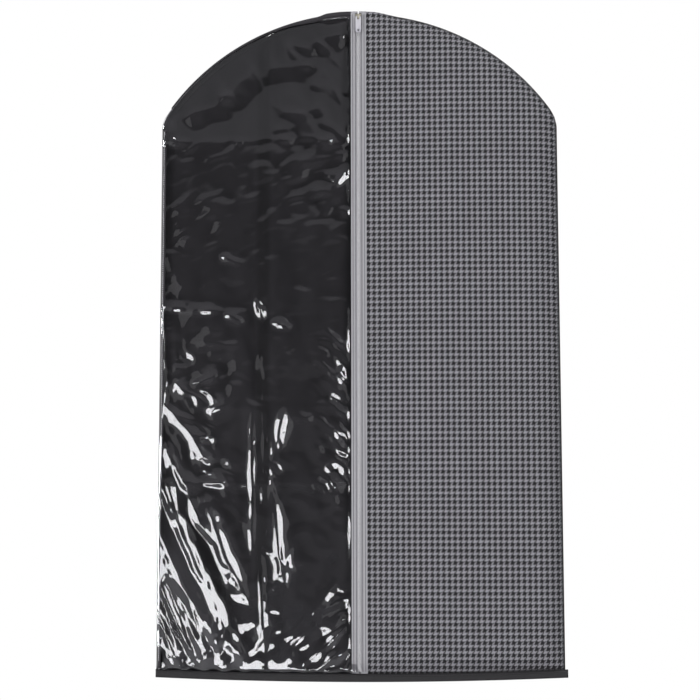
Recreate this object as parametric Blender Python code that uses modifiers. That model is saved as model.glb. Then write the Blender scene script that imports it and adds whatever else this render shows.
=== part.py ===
"""Garment bag for one hanger: a flat back, a front in two halves with a coil zip between them, and a bound hem.

Metres, +Z up. The bag hangs: +X is to the right of someone facing its front, the front faces -Y, and the origin
is in the gap at the top centre, where the hanger's hook comes out. Sheets are made 0.6 mm thick.
"""

import math

import bmesh
import bpy
from mathutils import Matrix, Vector

# Outline of the bag, seen from the front
BAG_HEIGHT = 1.000
BAG_WIDTH = 0.600
SHOULDER_DROP = 0.166
SHOULDER_ROUND = 0.012
TOP_ABOVE_ORIGIN = 0.004

# How full the empty bag hangs
FRONT_DEPTH = 0.0135  # from the back panel to the front, at the zip
PANEL_BULGE = 0.004  # how much further forward the middle of each half stands
EDGE_ROLL = 0.030  # width over which the front rolls back to the side and top seams
HEM_ROLL = 0.022  # the same above the hem binding
HOOK_GAP = 0.040  # unsewn length of the top seam
HOOK_GAP_FADE = 0.045  # length on each side of it over which the seam closes

# Sheets, and the gap left between pieces that touch
SHEET = 0.0006
CLEARANCE = 0.0003
BACK_INNER_Y = 0.007

# Hem binding, a tape folded over the bottom edge
BINDING_HEIGHT = 0.011
BINDING_SHEET = 0.0006
BINDING_RECESS = 0.0001  # how far the binding's back stays in front of the back panel's
BINDING_STEP = 0.002  # height over which the back panel bends to let the binding in
BINDING_OVERHANG_LEFT = 0.0006
BINDING_OVERHANG_RIGHT = 0.004

# Zip: woven tapes, nylon coils on their front, and the threads that hold them
ZIP_WIDTH = 0.0232
TAPE_SHEET = 0.0005
PANEL_EDGE_X = 0.005  # where the panels end, behind the tapes
ZIP_FLAT_MARGIN = 0.002  # how far past the tapes the panels stay level
COIL_WIDTH = 0.0014
COIL_HEIGHT = 0.0016
THREAD_DIAMETER = 0.0004
COIL_THREAD_X = 0.0047
ZIP_SEAM_X = 0.0087
TACK_WIDTH = 0.0036
TACK_HEIGHT = 0.0014
TACK_DEPTH = 0.0009

# Slider, a casting with two wings joined by a post, and a bridge for the pull tab
SLIDER_LENGTH = 0.0100
SLIDER_WIDTH_TOP = 0.0094
SLIDER_WIDTH_FOOT = 0.0076
REAR_WING_WIDTH = 0.0080
WING = 0.0010
LIP = 0.0010
SLIDER_CORNER = 0.0014
POST_WIDTH = 0.0012
POST_LENGTH = 0.0030
COIL_SIDE_CLEARANCE = 0.0004
BRIDGE_WIDTH = 0.0018
BRIDGE_BAR = 0.0010
BRIDGE_WINDOW_LENGTH = 0.0036
BRIDGE_WINDOW_HEIGHT = 0.0022
SLIDER_TOP_Z = -0.0008

# Pull tab, a flat plate hooked through the bridge
TAB_WIDTH = 0.0085
TAB_LENGTH = 0.0255
TAB_SHEET = 0.0011
TAB_CROSSBAR = 0.0011
TAB_WINDOW_WIDTH = 0.0030
TAB_SWING_CLEARANCE = 0.0004
TAB_HOLE_RADIUS = 0.0016
TAB_END_MARGIN = 0.0024

# Seam tapes inside the side and top seams
SEAM_TAPE_WIDTH = 0.008
SEAM_TAPE_INSET = 0.002
SEAM_TAPE_SHEET = 0.0005
SEAM_TAPE_END = 0.006

# Smoothness of the meshes
PANEL_COLUMNS = 13
PANEL_ROWS = 30
BACK_COLUMNS = 14
BACK_ROWS = 18
ARC_STEPS = 16
ROLL_STEPS = 6
CORNER_STEPS = 3

# Places worked out from the sizes above
TOP_Z = TOP_ABOVE_ORIGIN
HEM_Z = TOP_Z - BAG_HEIGHT
SIDE_X = BAG_WIDTH / 2
TOP_ARC_RADIUS = (SIDE_X**2 + SHOULDER_DROP**2) / (2 * SHOULDER_DROP)
ARC_CENTRE_Z = TOP_Z - TOP_ARC_RADIUS
SHOULDER_Z = ARC_CENTRE_Z + math.sqrt(TOP_ARC_RADIUS**2 - SIDE_X**2) - SHOULDER_ROUND
BINDING_TOP_Z = HEM_Z + BINDING_HEIGHT
SEAM_Y = BACK_INNER_Y - CLEARANCE  # the front sheet's inner face where it is sewn to the back
HEM_SHIFT = BINDING_SHEET + CLEARANCE + BINDING_RECESS  # how far forward the sheets lie in the hem
POST_GAP_X = POST_WIDTH / 2 + CLEARANCE  # half the gap between the two zip chains
ZIP_FLAT_X = ZIP_WIDTH / 2 + ZIP_FLAT_MARGIN
SLIDER_Z = SLIDER_TOP_Z - SLIDER_LENGTH / 2

BLACK_FABRIC = ("black_nonwoven", (0.022, 0.021, 0.023), 0.85, 0.0)
CLEAR_FILM = ("clear_film", (0.55, 0.55, 0.58), 0.08, 0.0)
PRINTED_FABRIC = ("houndstooth_nonwoven", (0.16, 0.16, 0.17), 0.80, 0.0)
ZIP_TAPE = ("zip_tape", (0.38, 0.38, 0.40), 0.80, 0.0)
ZIP_COIL = ("zip_coil", (0.50, 0.50, 0.53), 0.35, 0.0)
ZIP_THREAD = ("zip_thread", (0.30, 0.30, 0.32), 0.60, 0.0)
BLACK_THREAD = ("black_thread", (0.03, 0.03, 0.03), 0.60, 0.0)
SLIDER_METAL = ("slider_metal", (0.24, 0.23, 0.19), 0.40, 1.0)
PULL_METAL = ("pull_metal", (0.55, 0.55, 0.62), 0.35, 1.0)


def clear_scene():
    for obj in list(bpy.data.objects):
        bpy.data.objects.remove(obj)


def new_collection(name):
    collection = bpy.data.collections.new(name)
    bpy.context.scene.collection.children.link(collection)
    return collection


def material(recipe):
    """The material of that name, made the first time that it is asked for."""
    name, colour, roughness, metallic = recipe
    made = bpy.data.materials.get(name)
    if made is None:
        made = bpy.data.materials.new(name)
        made.use_nodes = True
        shader = made.node_tree.nodes["Principled BSDF"]
        shader.inputs["Base Color"].default_value = (*colour, 1.0)
        shader.inputs["Roughness"].default_value = roughness
        shader.inputs["Metallic"].default_value = metallic
    return made


def add_object(name, data, collection, recipe=None):
    obj = bpy.data.objects.new(name, data)
    collection.objects.link(obj)
    if recipe:
        data.materials.append(material(recipe))
    return obj


def smooth_object(obj, degrees=35):
    obj.data.shade_smooth()
    obj.data.set_sharp_from_angle(angle=math.radians(degrees))


# The bag's shape


def top_z(x):
    """Height of the top edge: an arc that turns down round each shoulder."""
    across = min(abs(x), SIDE_X)
    turn = max(across - (SIDE_X - SHOULDER_ROUND), 0.0)
    drop = SHOULDER_ROUND - math.sqrt(max(SHOULDER_ROUND**2 - turn**2, 0.0))
    return ARC_CENTRE_Z + math.sqrt(TOP_ARC_RADIUS**2 - across**2) - drop


def rolled(distance, width):
    """From 0 at a seam to 1 at the full depth, as a quarter of a rounded edge."""
    return 1 - (1 - min(max(distance / width, 0.0), 1.0)) ** 2


def hem_shift(z, fade):
    """How far forward a sheet lies: the full shift inside the binding, none from the fade's height above it."""
    return HEM_SHIFT * min(max(1 - (z - BINDING_TOP_Z) / fade, 0.0), 1.0)


def hook_gap_open(x):
    """1 where the top seam is open for the hook, fading to 0 beside it."""
    beside = (abs(x) - HOOK_GAP / 2) / HOOK_GAP_FADE
    return 1 - rolled(beside, 1.0) if beside > 0 else 1.0


def front_depth(x, z):
    """How far the front's inner face stands forward of the seam."""
    to_side = (SIDE_X - abs(x)) / EDGE_ROLL
    from_centre = math.hypot(x, max(z - ARC_CENTRE_Z, 0.0))
    to_top = (TOP_ARC_RADIUS - from_centre) / EDGE_ROLL + hook_gap_open(x)
    to_hem = (z - BINDING_TOP_Z) / HEM_ROLL
    nearest = min(to_side, to_top, to_hem)
    across = (abs(x) - ZIP_FLAT_X) / (SIDE_X - ZIP_FLAT_X)
    bulge = PANEL_BULGE * math.sin(math.pi * min(max(across, 0.0), 1.0)) * rolled(nearest, 4.0)
    depth = (FRONT_DEPTH - CLEARANCE) * rolled(nearest, 1.0) + bulge
    return max(depth, hem_shift(z, HEM_ROLL / ROLL_STEPS))


def zip_y(z):
    """The inner face of the panels' edges, behind the zip. It is straight from the top down to the hem's roll."""
    depth = (FRONT_DEPTH - CLEARANCE) * rolled((z - BINDING_TOP_Z) / HEM_ROLL, 1.0)
    return SEAM_Y - max(depth, hem_shift(z, HEM_ROLL / ROLL_STEPS))


TAPE_BEHIND = SHEET + CLEARANCE  # from the panels' inner face forward to the tape's back
TAPE_FRONT = TAPE_BEHIND + TAPE_SHEET
COIL_BEHIND = TAPE_FRONT + CLEARANCE
COIL_FRONT = COIL_BEHIND + COIL_HEIGHT


def mapped_grid(columns, rows, place):
    """A flat grid primitive that runs 0 to 1 both ways, with each vertex moved to place(u, v)."""
    mesh = bpy.data.meshes.new("grid")
    bm = bmesh.new()
    bmesh.ops.create_grid(bm, x_segments=columns, y_segments=rows, size=0.5)
    for vertex in bm.verts:
        vertex.co = place(vertex.co.x + 0.5, vertex.co.y + 0.5)
    bm.to_mesh(mesh)
    bm.free()
    return mesh


def sheet(name, collection, recipe, columns, rows, place, thickness):
    """A sheet from its rear face, which place(u, v) gives with x growing with u, thickened towards the front."""
    obj = add_object(name, mapped_grid(columns, rows, place), collection, recipe)
    solidify = obj.modifiers.new("thickness", "SOLIDIFY")
    solidify.thickness = thickness
    solidify.offset = 1.0
    smooth_object(obj)
    return obj


def back_row_z(row, top):
    """How high a row of the back panel is: the hem, the bend above its binding, then evenly to the top."""
    if row < 2:
        return HEM_Z + row * BINDING_HEIGHT
    bend_top = BINDING_TOP_Z + BINDING_STEP
    return bend_top + (row - 2) / (BACK_ROWS - 2) * (top - bend_top)


def back_panel(collection):
    """One flat sheet over the whole outline. In the hem it lies a little forward, so the binding's back is level."""

    def place(u, v):
        x = SIDE_X * math.sin(math.pi * (u - 0.5))  # closer columns at the sides
        z = back_row_z(round(v * BACK_ROWS), top_z(x))
        return Vector((x, BACK_INNER_Y + SHEET - hem_shift(z, BINDING_STEP), z))

    sheet("back_panel", collection, BLACK_FABRIC, BACK_COLUMNS, BACK_ROWS, place, SHEET)


def panel_column_x(column):
    """How far out a column of a front panel is: the edge, the level strip, the hook gap, then closer to the seam."""
    first = (PANEL_EDGE_X, ZIP_FLAT_X, HOOK_GAP / 2)
    if column < len(first):
        return first[column]
    share = (column + 1 - len(first)) / (PANEL_COLUMNS + 1 - len(first))
    return first[-1] + math.sin(share * math.pi / 2) * (SIDE_X - first[-1])


def panel_row_z(row, top):
    """How high a row of a front panel is: the hem, the steps of its roll, then closer to the top."""
    if row == 0:
        return HEM_Z
    if row <= ROLL_STEPS + 1:
        return BINDING_TOP_Z + HEM_ROLL * (row - 1) / ROLL_STEPS
    share = (row - 1 - ROLL_STEPS) / (PANEL_ROWS - 1 - ROLL_STEPS)
    roll_top = BINDING_TOP_Z + HEM_ROLL
    return roll_top + math.sin(share * math.pi / 2) * (top - roll_top)


def front_panel(name, side, collection, recipe):
    """One half of the front, from behind the zip tape to the side seam."""

    def place(u, v):
        outward = u if side > 0 else 1 - u
        x = panel_column_x(round(outward * PANEL_COLUMNS))
        z = panel_row_z(round(v * PANEL_ROWS), top_z(x))
        return Vector((side * x, SEAM_Y - front_depth(x, z), z))

    sheet(name, collection, recipe, PANEL_COLUMNS, PANEL_ROWS, place, SHEET)


def strip_heights(top, foot):
    """Heights down the zip: one straight run, then closer steps round the hem's roll."""
    roll = [BINDING_TOP_Z + HEM_ROLL * step / ROLL_STEPS for step in range(ROLL_STEPS, -1, -1)]
    return [top] + [z for z in roll if foot < z < top] + [foot]


def zip_strip(name, collection, recipe, side, near_x, far_x, behind, thickness, top, foot):
    """A band beside the zip's centre line that follows the front down to the hem."""
    heights = strip_heights(top, foot)[::-1]
    low_x, high_x = sorted((side * near_x, side * far_x))

    def place(u, v):
        z = heights[round(v * (len(heights) - 1))]
        return Vector((low_x + u * (high_x - low_x), zip_y(z) - behind, z))

    return sheet(name, collection, recipe, 1, len(heights) - 1, place, thickness)


def thread(name, collection, recipe, points):
    """A sewing thread: a thin round tube through the points."""
    curve = bpy.data.curves.new(name, "CURVE")
    curve.dimensions = "3D"
    curve.bevel_depth = THREAD_DIAMETER / 2
    curve.bevel_resolution = 2
    curve.use_fill_caps = True
    spline = curve.splines.new("POLY")
    spline.points.add(len(points) - 1)
    for spline_point, place in zip(spline.points, points):
        spline_point.co = (*place, 1.0)
    return add_object(name, curve, collection, recipe)


def zip_chain(side, word, collection):
    """One side of the zip: tape, coil, the threads that sew both, and the tack that stops the slider at the top."""
    half_width = ZIP_WIDTH / 2
    zip_strip(f"zip_tape_{word}", collection, ZIP_TAPE, side, POST_GAP_X, half_width,
              TAPE_BEHIND, TAPE_SHEET, TOP_Z, HEM_Z + CLEARANCE)
    coil_top = SLIDER_TOP_Z
    coil_foot = BINDING_TOP_Z + HEM_ROLL / ROLL_STEPS
    zip_strip(f"zip_coil_{word}", collection, ZIP_COIL, side, POST_GAP_X, POST_GAP_X + COIL_WIDTH,
              COIL_BEHIND, COIL_HEIGHT, coil_top, coil_foot)
    thread_out = TAPE_FRONT + CLEARANCE + THREAD_DIAMETER / 2
    for kind, x in (("coil_thread", COIL_THREAD_X), ("zip_seam_thread", ZIP_SEAM_X)):
        heights = strip_heights(coil_top, coil_foot)
        points = [(side * x, zip_y(z) - thread_out, z) for z in heights]
        thread(f"{kind}_{word}", collection, ZIP_THREAD, points)
    tack_foot = SLIDER_TOP_Z + CLEARANCE
    zip_strip(f"top_tack_{word}", collection, ZIP_THREAD, side, POST_GAP_X, POST_GAP_X + TACK_WIDTH,
              COIL_BEHIND, TACK_DEPTH, tack_foot + TACK_HEIGHT, tack_foot)


def hem_binding(collection):
    """A tape folded round the bottom edge, open upwards, that stands out past the right side."""
    left = -SIDE_X - BINDING_OVERHANG_LEFT
    right = SIDE_X + BINDING_OVERHANG_RIGHT
    front_y = SEAM_Y - HEM_SHIFT - TAPE_FRONT - CLEARANCE
    back_y = BACK_INNER_Y + SHEET - HEM_SHIFT + CLEARANCE
    foot_z = HEM_Z - CLEARANCE
    profile = [(front_y, BINDING_TOP_Z), (front_y, foot_z), (back_y, foot_z), (back_y, BINDING_TOP_Z)]

    def place(u, v):
        y, z = profile[round(v * 3)]
        return Vector((left + u * (right - left), y, z))

    obj = sheet("hem_binding", collection, BLACK_FABRIC, 1, 3, place, BINDING_SHEET)
    solidify = obj.modifiers["thickness"]
    solidify.offset = -1.0
    solidify.use_even_offset = True
    thread_y = front_y - BINDING_SHEET - CLEARANCE - THREAD_DIAMETER / 2
    thread_z = BINDING_TOP_Z - BINDING_HEIGHT / 4
    thread("hem_thread", collection, BLACK_THREAD, [(left, thread_y, thread_z), (right, thread_y, thread_z)])


def side_seam(side, word, collection):
    """A narrow tape and its thread inside the side seam, from the hem binding up to the shoulder."""
    foot = BINDING_TOP_Z + SEAM_TAPE_END
    top = SHOULDER_Z - SEAM_TAPE_END
    middle = SEAM_TAPE_INSET + SEAM_TAPE_WIDTH / 2

    def place(u, v):
        z = foot + v * (top - foot)
        from_side = middle + (0.5 - u) * side * SEAM_TAPE_WIDTH
        return Vector((side * (SIDE_X - from_side), SEAM_Y, z))

    sheet(f"seam_tape_{word}", collection, BLACK_FABRIC, 1, 1, place, SEAM_TAPE_SHEET)
    thread_y = SEAM_Y - SEAM_TAPE_SHEET - CLEARANCE - THREAD_DIAMETER / 2
    ends = [(side * (SIDE_X - middle), thread_y, z) for z in (foot, top)]
    thread(f"seam_thread_{word}", collection, BLACK_THREAD, ends)


def top_seam(side, word, collection):
    """The same along the top arc, from the hook gap out to the shoulder."""
    outer = TOP_ARC_RADIUS - SEAM_TAPE_INSET
    start = math.asin((HOOK_GAP / 2 + HOOK_GAP_FADE) / outer)
    end = math.asin((SIDE_X - SEAM_TAPE_INSET - SEAM_TAPE_WIDTH - SHOULDER_ROUND / 2) / outer)

    def on_arc(radius, share):
        angle = start + share * (end - start)
        return side * radius * math.sin(angle), ARC_CENTRE_Z + radius * math.cos(angle)

    def place(u, v):
        x, z = on_arc(outer - (1 - v) * SEAM_TAPE_WIDTH, u if side > 0 else 1 - u)
        return Vector((x, SEAM_Y, z))

    sheet(f"seam_tape_top_{word}", collection, BLACK_FABRIC, ARC_STEPS, 1, place, SEAM_TAPE_SHEET)
    thread_y = SEAM_Y - SEAM_TAPE_SHEET - CLEARANCE - THREAD_DIAMETER / 2
    points = []
    for step in range(ARC_STEPS + 1):
        x, z = on_arc(outer - SEAM_TAPE_WIDTH / 2, step / ARC_STEPS)
        points.append((x, thread_y, z))
    thread(f"seam_thread_top_{word}", collection, BLACK_THREAD, points)


# The slider and its pull tab


def block(name, collection, low, high, foot_share=1.0, corner=0.0):
    """A box between two corners. Its foot may be narrower, and its four edges along Y rounded."""
    size = Vector(high) - Vector(low)
    middle = (Vector(high) + Vector(low)) / 2
    mesh = bpy.data.meshes.new(name)
    bm = bmesh.new()
    bmesh.ops.create_cube(bm, size=1.0, matrix=Matrix.Diagonal((*size, 1.0)))
    for vertex in bm.verts:
        if vertex.co.z < 0:
            vertex.co.x *= foot_share
    if corner:
        along_y = [e for e in bm.edges if abs(e.verts[0].co.y - e.verts[1].co.y) > size.y / 2]
        bmesh.ops.bevel(bm, geom=along_y, offset=corner, segments=CORNER_STEPS, affect="EDGES", profile=0.5)
    bmesh.ops.translate(bm, vec=middle, verts=bm.verts)
    bm.to_mesh(mesh)
    bm.free()
    return add_object(name, mesh, collection)


def join(obj, others):
    """Adds the other solids to obj with Boolean unions, and keeps them as hidden helpers."""
    for other in others:
        other.hide_render = True
        other.display_type = "WIRE"
        union = obj.modifiers.new(other.name, "BOOLEAN")
        union.operation = "UNION"
        union.object = other
    return obj


def slider_body(collection, helpers):
    """Front wing over the coils, rear wing behind the tapes, the post between them, lips and bridge."""
    straight_y = zip_y(TOP_Z)
    coil_front_y = straight_y - COIL_FRONT
    wing_rear_y = coil_front_y - CLEARANCE
    wing_front_y = wing_rear_y - WING
    lip_rear_y = straight_y - TAPE_FRONT - CLEARANCE
    rear_wing_front_y = straight_y - TAPE_BEHIND + CLEARANCE
    low_z = SLIDER_TOP_Z - SLIDER_LENGTH
    body = block("slider_body", collection,
                 (-SLIDER_WIDTH_TOP / 2, wing_front_y, low_z), (SLIDER_WIDTH_TOP / 2, wing_rear_y, SLIDER_TOP_Z),
                 SLIDER_WIDTH_FOOT / SLIDER_WIDTH_TOP, SLIDER_CORNER)
    body.data.materials.append(material(SLIDER_METAL))
    overlap = WING / 2
    rear = block("rear_wing", helpers,
                 (-REAR_WING_WIDTH / 2, rear_wing_front_y, low_z),
                 (REAR_WING_WIDTH / 2, rear_wing_front_y + WING, SLIDER_TOP_Z),
                 SLIDER_WIDTH_FOOT / SLIDER_WIDTH_TOP, SLIDER_CORNER)
    post = block("post", helpers,
                 (-POST_WIDTH / 2, wing_rear_y - overlap, SLIDER_TOP_Z - POST_LENGTH - WING),
                 (POST_WIDTH / 2, rear_wing_front_y + overlap, SLIDER_TOP_Z - WING))
    lip_x = POST_GAP_X + COIL_WIDTH + COIL_SIDE_CLEARANCE
    lips = []
    for side in (-1, 1):
        low_x, high_x = sorted((side * lip_x, side * (lip_x + LIP)))
        lips.append(block(f"lip_{side}", helpers, (low_x, wing_rear_y - overlap, low_z + LIP),
                          (high_x, lip_rear_y, SLIDER_TOP_Z - LIP)))
    half_window = BRIDGE_WINDOW_LENGTH / 2
    bar_rear_y = wing_front_y - BRIDGE_WINDOW_HEIGHT
    bar_front_y = bar_rear_y - BRIDGE_BAR
    end_z = half_window + BRIDGE_BAR
    bar = block("bridge_bar", helpers, (-BRIDGE_WIDTH / 2, bar_front_y, SLIDER_Z - end_z),
                (BRIDGE_WIDTH / 2, bar_rear_y, SLIDER_Z + end_z))
    legs = []
    for end in (-1, 1):
        low_leg, high_leg = sorted((SLIDER_Z + end * half_window, SLIDER_Z + end * end_z))
        legs.append(block(f"bridge_leg_{end}", helpers, (-BRIDGE_WIDTH / 2, bar_rear_y - BRIDGE_BAR / 2, low_leg),
                          (BRIDGE_WIDTH / 2, wing_front_y + overlap, high_leg)))
    join(body, [rear, post, *lips, bar, *legs])
    return wing_front_y - BRIDGE_WINDOW_HEIGHT / 2  # where the pull tab hangs in the bridge


def closed_spline(curve, points):
    spline = curve.splines.new("POLY")
    spline.points.add(len(points) - 1)
    for spline_point, (x, z) in zip(spline.points, points):
        spline_point.co = (x, z, 0.0, 1.0)
    spline.use_cyclic_u = True


def arc_points(centre_x, centre_z, radius, start_degrees, end_degrees, steps):
    angles = [math.radians(start_degrees + (end_degrees - start_degrees) * i / steps) for i in range(steps + 1)]
    return [(centre_x + radius * math.cos(a), centre_z + radius * math.sin(a)) for a in angles]


def pull_tab(collection, axis_y):
    """A flat plate with a crossbar that sits in the bridge, a window round the bridge, and a hole at its end."""
    half = TAB_WIDTH / 2
    top = TAB_CROSSBAR / 2
    foot = top - TAB_LENGTH
    reach_z = BRIDGE_WINDOW_LENGTH / 2 + BRIDGE_BAR
    reach_y = BRIDGE_WINDOW_HEIGHT / 2 + BRIDGE_BAR
    window_foot = -(math.hypot(reach_z, reach_y) + TAB_SWING_CLEARANCE)
    curve = bpy.data.curves.new("pull_tab", "CURVE")
    curve.dimensions = "2D"
    curve.fill_mode = "BOTH"
    curve.extrude = TAB_SHEET / 2
    corner = TAB_CROSSBAR
    outline = arc_points(half - corner, top - corner, corner, 0, 90, CORNER_STEPS)
    outline += arc_points(-half + corner, top - corner, corner, 90, 180, CORNER_STEPS)
    outline += arc_points(0, foot + half, half, 180, 360, 3 * CORNER_STEPS)
    closed_spline(curve, outline)
    window = TAB_WINDOW_WIDTH / 2
    closed_spline(curve, [(-window, -top), (window, -top), (window, window_foot), (-window, window_foot)])
    hole_z = foot + TAB_END_MARGIN + TAB_HOLE_RADIUS
    closed_spline(curve, arc_points(0, hole_z, TAB_HOLE_RADIUS, 0, 330, 11))
    obj = add_object("pull_tab", curve, collection, PULL_METAL)
    obj.location = (0, axis_y, SLIDER_Z)
    obj.rotation_euler = (math.radians(90), 0, 0)


def build():
    clear_scene()
    parts = new_collection("garment_bag")
    helpers = new_collection("helpers")
    back_panel(parts)
    front_panel("front_left_film", -1, parts, CLEAR_FILM)
    front_panel("front_right_panel", 1, parts, PRINTED_FABRIC)
    for side, word in ((-1, "left"), (1, "right")):
        zip_chain(side, word, parts)
        side_seam(side, word, parts)
        top_seam(side, word, parts)
    hem_binding(parts)
    axis_y = slider_body(parts, helpers)
    pull_tab(parts, axis_y)


build()
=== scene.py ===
import math

import bmesh
import bpy
import numpy as np
from mathutils import Matrix, Vector


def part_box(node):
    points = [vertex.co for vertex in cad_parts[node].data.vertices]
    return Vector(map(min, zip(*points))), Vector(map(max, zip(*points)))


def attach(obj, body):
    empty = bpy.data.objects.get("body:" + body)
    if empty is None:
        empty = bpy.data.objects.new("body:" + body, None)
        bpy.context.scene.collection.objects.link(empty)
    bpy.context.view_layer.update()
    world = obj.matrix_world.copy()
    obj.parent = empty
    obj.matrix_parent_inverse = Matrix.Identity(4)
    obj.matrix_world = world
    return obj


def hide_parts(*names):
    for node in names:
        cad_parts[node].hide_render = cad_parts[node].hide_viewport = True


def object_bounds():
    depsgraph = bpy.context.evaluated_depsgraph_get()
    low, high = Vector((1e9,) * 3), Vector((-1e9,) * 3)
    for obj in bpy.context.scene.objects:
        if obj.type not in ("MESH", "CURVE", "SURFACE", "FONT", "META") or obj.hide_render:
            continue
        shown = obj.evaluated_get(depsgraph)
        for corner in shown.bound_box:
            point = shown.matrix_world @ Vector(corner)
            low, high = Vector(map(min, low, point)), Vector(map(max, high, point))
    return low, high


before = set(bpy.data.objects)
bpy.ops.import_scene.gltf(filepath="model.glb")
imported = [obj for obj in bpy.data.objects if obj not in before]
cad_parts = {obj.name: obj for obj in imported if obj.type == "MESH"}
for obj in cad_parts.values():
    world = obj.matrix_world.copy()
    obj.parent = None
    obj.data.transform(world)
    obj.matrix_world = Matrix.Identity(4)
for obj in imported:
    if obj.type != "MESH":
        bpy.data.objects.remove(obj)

cad_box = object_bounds()

# Studio. The bag hangs high above a pale floor, with a tall softbox on its left and right, one above the
# camera, one below it and two behind the bag. The room is grey above and dark below, which greys the film
# where it leans back.

floor_gap = 0.90
floor_z = cad_box[0].z - floor_gap
floor_mesh = bpy.data.meshes.new("floor")
floor_corners = [(-9, -7, floor_z), (9, -7, floor_z), (9, 11, floor_z), (-9, 11, floor_z)]
floor_mesh.from_pydata(floor_corners, [], [(0, 1, 2, 3)])
floor = bpy.data.objects.new("floor", floor_mesh)
bpy.context.collection.objects.link(floor)
floor_paint = bpy.data.materials.new("pale_floor")
floor_paint.use_nodes = True
floor_shader = floor_paint.node_tree.nodes["Principled BSDF"]
floor_shader.inputs["Base Color"].default_value = (0.30, 0.30, 0.31, 1)
floor_shader.inputs["Roughness"].default_value = 0.9
floor_tree = floor_paint.node_tree
overlit = floor_tree.nodes.new("ShaderNodeEmission")
floor_mix = floor_tree.nodes.new("ShaderNodeMixShader")
floor_ray = floor_tree.nodes.new("ShaderNodeLightPath")
floor_tree.links.new(floor_ray.outputs["Is Camera Ray"], floor_mix.inputs["Fac"])
floor_tree.links.new(floor_shader.outputs[0], floor_mix.inputs[1])
floor_tree.links.new(overlit.outputs[0], floor_mix.inputs[2])
floor_tree.links.new(floor_mix.outputs[0], floor_tree.nodes["Material Output"].inputs["Surface"])
floor_mesh.materials.append(floor_paint)

world = bpy.data.worlds.new("studio")
bpy.context.scene.world = world
world.use_nodes = True
air = world.node_tree
air.nodes.clear()
seen = air.nodes.new("ShaderNodeLightPath")
white_wall = air.nodes.new("ShaderNodeBackground")
white_wall.inputs["Color"].default_value = (1, 1, 1, 1)
room = air.nodes.new("ShaderNodeBackground")
heading = air.nodes.new("ShaderNodeTexCoord")
rise = air.nodes.new("ShaderNodeSeparateXYZ")
air.links.new(heading.outputs["Generated"], rise.inputs[0])
level = air.nodes.new("ShaderNodeMapRange")
level.inputs["From Min"].default_value = -1
air.links.new(rise.outputs["Z"], level.inputs["Value"])
walls = air.nodes.new("ShaderNodeValToRGB")
walls.color_ramp.interpolation = "EASE"
for place, shade in ((0.35, 0.16), (0.49, 0.14), (0.55, 0.07), (0.622, 0.075), (0.675, 0.31), (0.90, 0.33)):
    stop = walls.color_ramp.elements.new(place)
    stop.color = (shade, shade, shade * 1.04, 1)
walls.color_ramp.elements.remove(walls.color_ramp.elements[0])
walls.color_ramp.elements.remove(walls.color_ramp.elements[-1])
air.links.new(level.outputs[0], walls.inputs["Fac"])
air.links.new(walls.outputs["Color"], room.inputs["Color"])
either = air.nodes.new("ShaderNodeMixShader")
sky = air.nodes.new("ShaderNodeOutputWorld")
air.links.new(seen.outputs["Is Camera Ray"], either.inputs["Fac"])
air.links.new(room.outputs[0], either.inputs[1])
air.links.new(white_wall.outputs[0], either.inputs[2])
air.links.new(either.outputs[0], sky.inputs["Surface"])


def softbox(name, place, aim, width, height, radiance):
    """A rectangular light at a place, turned to face a point."""
    lamp = bpy.data.lights.new(name, "AREA")
    lamp.shape = "RECTANGLE"
    lamp.size, lamp.size_y = width, height
    lamp.energy = radiance * math.pi * width * height
    holder = bpy.data.objects.new(name, lamp)
    bpy.context.collection.objects.link(holder)
    holder.location = place
    holder.rotation_euler = (Vector(aim) - Vector(place)).to_track_quat("-Z", "Y").to_euler()
    holder.visible_camera = False


bag_middle = (0, 0, -0.5)
softbox("softbox_left", (-1.84, -1.94, -0.80), (0, 0, -0.8), 1.20, 1.8, 8.4)
softbox("softbox_right", (1.30, -2.15, -0.30), (0, 0, -0.5), 0.85, 1.8, 8.8)
softbox("softbox_low", (-0.55, -2.00, -1.68), (0, 0, -0.7), 1.2, 0.40, 8.8)
softbox("softbox_over", (0.1, -1.2, 2.50), (0, 0, -0.5), 2.0, 0.9, 13)
softbox("softbox_behind", (2.0, 2.2, 0.9), bag_middle, 1.4, 1.8, 16)
softbox("softbox_behind_left", (-2.3, 1.3, -0.4), bag_middle, 0.5, 1.8, 40)
softbox("glow_left", (-1.22, -2.40, -0.60), (0, 0, -0.6), 0.42, 2.0, 0.36)
softbox("glow_right", (0.68, -2.50, -0.40), (0, 0, -0.5), 0.42, 2.0, 0.36)

camera_distance = 2.4
camera_turn, camera_rise, camera_roll = math.radians(1.81), math.radians(-6.24), math.radians(-0.09)
camera_aim = Vector((-0.0137, 0, -0.5146))
camera_back = Vector((math.sin(camera_turn) * math.cos(camera_rise),
                      -math.cos(camera_turn) * math.cos(camera_rise), math.sin(camera_rise)))
camera = bpy.data.objects.new("camera", bpy.data.cameras.new("camera"))
bpy.context.collection.objects.link(camera)
camera.data.lens = 82.56
camera.location = camera_aim + camera_back * camera_distance
camera.rotation_euler = ((-camera_back).to_track_quat("-Z", "Y").to_matrix()
                         @ Matrix.Rotation(camera_roll, 3, "Z")).to_euler()
bpy.context.scene.camera = camera
bpy.context.scene.view_settings.view_transform = "Standard"

# Back of the bag. One sheet of black spun-bonded cloth, cut to the outline and creased where the bag was
# folded for packing. The outline and the folds that it sets are used by the two halves of the front as well.

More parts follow.
